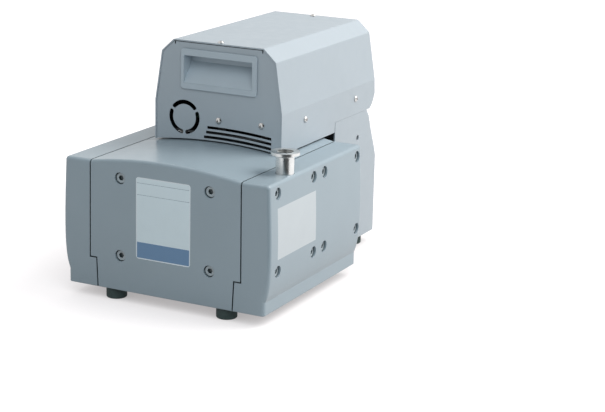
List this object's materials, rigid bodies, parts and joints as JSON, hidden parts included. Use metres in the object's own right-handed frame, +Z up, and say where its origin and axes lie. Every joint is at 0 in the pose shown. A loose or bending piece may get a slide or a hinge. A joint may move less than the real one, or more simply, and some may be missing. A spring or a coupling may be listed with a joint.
{
  "type": "diaphragm vacuum pump",
  "caption": "Oil-free diaphragm vacuum pump with a domed casing on rubber feet, opposed heads inside, a small flanged inlet, a rear motor hood and a handled electronics housing on top.",
  "frame": {"origin": "on the floor, under the middle of the bounding box", "axes": "+Z up, the front with the handle and the blank plate faces -Y, +X to the right seen from the front, the vacuum inlet being on the right"},
  "size_m": [0.2461, 0.352, 0.2649],
  "materials": {
    "casing_plastic": "satin moulded plastic, pale blue grey",
    "housing_paint": "satin powder coat, pale blue grey",
    "plate_white": "matt printed film, blank",
    "rubber": "matt black rubber",
    "stainless": "turned and polished stainless steel",
    "bright_screws": "zinc-plated steel",
    "grey_screws": "grey-coated steel",
    "cast_aluminium": "cast, machined on its faces",
    "steel": "machined steel",
    "diaphragm_rubber": "rubber faced with fluoropolymer",
    "winding": "varnished laminations and windings",
    "black_plastic": "moulded black plastic",
    "board_green": "circuit board",
    "dark_can": "sleeved capacitor can"
  },
  "bodies": {
    "chassis": {"base_plate": "cast_aluminium", "rubber_feet": "rubber", "front_cover": "casing_plastic", "rear_cover": "casing_plastic", "left_side_cover": "casing_plastic", "right_side_cover": "casing_plastic", "front_cover_screws": "grey_screws", "side_cover_screws": "grey_screws", "rating_plate": "plate_white", "side_plate": "plate_white", "crankcase": "cast_aluminium", "bearing_cover": "cast_aluminium", "shaft_bearings": "steel", "valve_discs": "diaphragm_rubber", "left_head_cover": "cast_aluminium", "right_head_cover": "cast_aluminium", "inlet_flange": "stainless", "cross_pipe": "steel", "exhaust_nozzle": "stainless", "gas_ballast_valve": "stainless", "motor_housing": "cast_aluminium", "motor_stator": "winding", "motor_end_bell": "cast_aluminium", "rear_hood": "housing_paint", "fan_grille": "black_plastic", "housing_cover": "housing_paint", "front_panel": "housing_paint", "rear_panel": "housing_paint", "housing_tray": "steel", "handle_shell": "casing_plastic", "housing_screws": "bright_screws", "inverter_board": "board_green", "heat_sink": "cast_aluminium", "capacitors": "dark_can", "mains_inlet": "black_plastic", "switch_frame": "black_plastic", "controller_socket": "stainless", "diaphragm_front_right": "diaphragm_rubber", "pump_head_front_right": "cast_aluminium", "diaphragm_rear_right": "diaphragm_rubber", "pump_head_rear_right": "cast_aluminium", "diaphragm_front_left": "diaphragm_rubber", "pump_head_front_left": "cast_aluminium", "diaphragm_rear_left": "diaphragm_rubber", "pump_head_rear_left": "cast_aluminium"},
    "shaft": {"crankshaft": "steel", "rod_bearings": "steel", "counterweights": "steel", "motor_rotor": "steel", "cooling_fan": "black_plastic"},
    "rod_front_right": {"connecting_rod_front_right": "cast_aluminium", "clamping_disc_front_right": "diaphragm_rubber"},
    "rod_rear_right": {"connecting_rod_rear_right": "cast_aluminium", "clamping_disc_rear_right": "diaphragm_rubber"},
    "rod_front_left": {"connecting_rod_front_left": "cast_aluminium", "clamping_disc_front_left": "diaphragm_rubber"},
    "rod_rear_left": {"connecting_rod_rear_left": "cast_aluminium", "clamping_disc_rear_left": "diaphragm_rubber"},
    "ballast_knob": {"gas_ballast_knob": "black_plastic"},
    "rocker": {"power_switch": "black_plastic"}
  },
  "joints": [
    {"name": "shaft_spin", "type": "hinge", "parent": "chassis", "child": "shaft", "pos_m": [0, 0, 0.0968], "axis": [0, 1, 0], "continuous": true},
    {"name": "rod_front_right_swing", "type": "hinge", "parent": "shaft", "child": "rod_front_right", "pos_m": [0.003, -0.1175, 0.0968], "axis": [0, 1, 0], "continuous": true, "deforming": ["diaphragm_front_right"]},
    {"name": "rod_rear_right_swing", "type": "hinge", "parent": "shaft", "child": "rod_rear_right", "pos_m": [-0.003, -0.0123, 0.0968], "axis": [0, 1, 0], "continuous": true, "deforming": ["diaphragm_rear_right"]},
    {"name": "rod_front_left_swing", "type": "hinge", "parent": "shaft", "child": "rod_front_left", "pos_m": [0.003, -0.1175, 0.0968], "axis": [0, 1, 0], "continuous": true, "deforming": ["diaphragm_front_left"]},
    {"name": "rod_rear_left_swing", "type": "hinge", "parent": "shaft", "child": "rod_rear_left", "pos_m": [-0.003, -0.0123, 0.0968], "axis": [0, 1, 0], "continuous": true, "deforming": ["diaphragm_rear_left"]},
    {"name": "ballast_turn", "type": "hinge", "parent": "chassis", "child": "ballast_knob", "pos_m": [0.1005, 0.047, 0.074], "axis": [0, 1, 0], "range_deg": [0, 150]},
    {"name": "switch_rock", "type": "hinge", "parent": "chassis", "child": "rocker", "pos_m": [-0.002, 0.148, 0.196], "axis": [1, 0, 0], "range_deg": [-18, 0]}
  ],
  "couplings": [
    {"joint": "rod_front_right_swing", "follows": "shaft_spin", "ratio": -1},
    {"joint": "rod_rear_right_swing", "follows": "shaft_spin", "ratio": -1},
    {"joint": "rod_front_left_swing", "follows": "shaft_spin", "ratio": -1},
    {"joint": "rod_rear_left_swing", "follows": "shaft_spin", "ratio": -1}
  ]
}
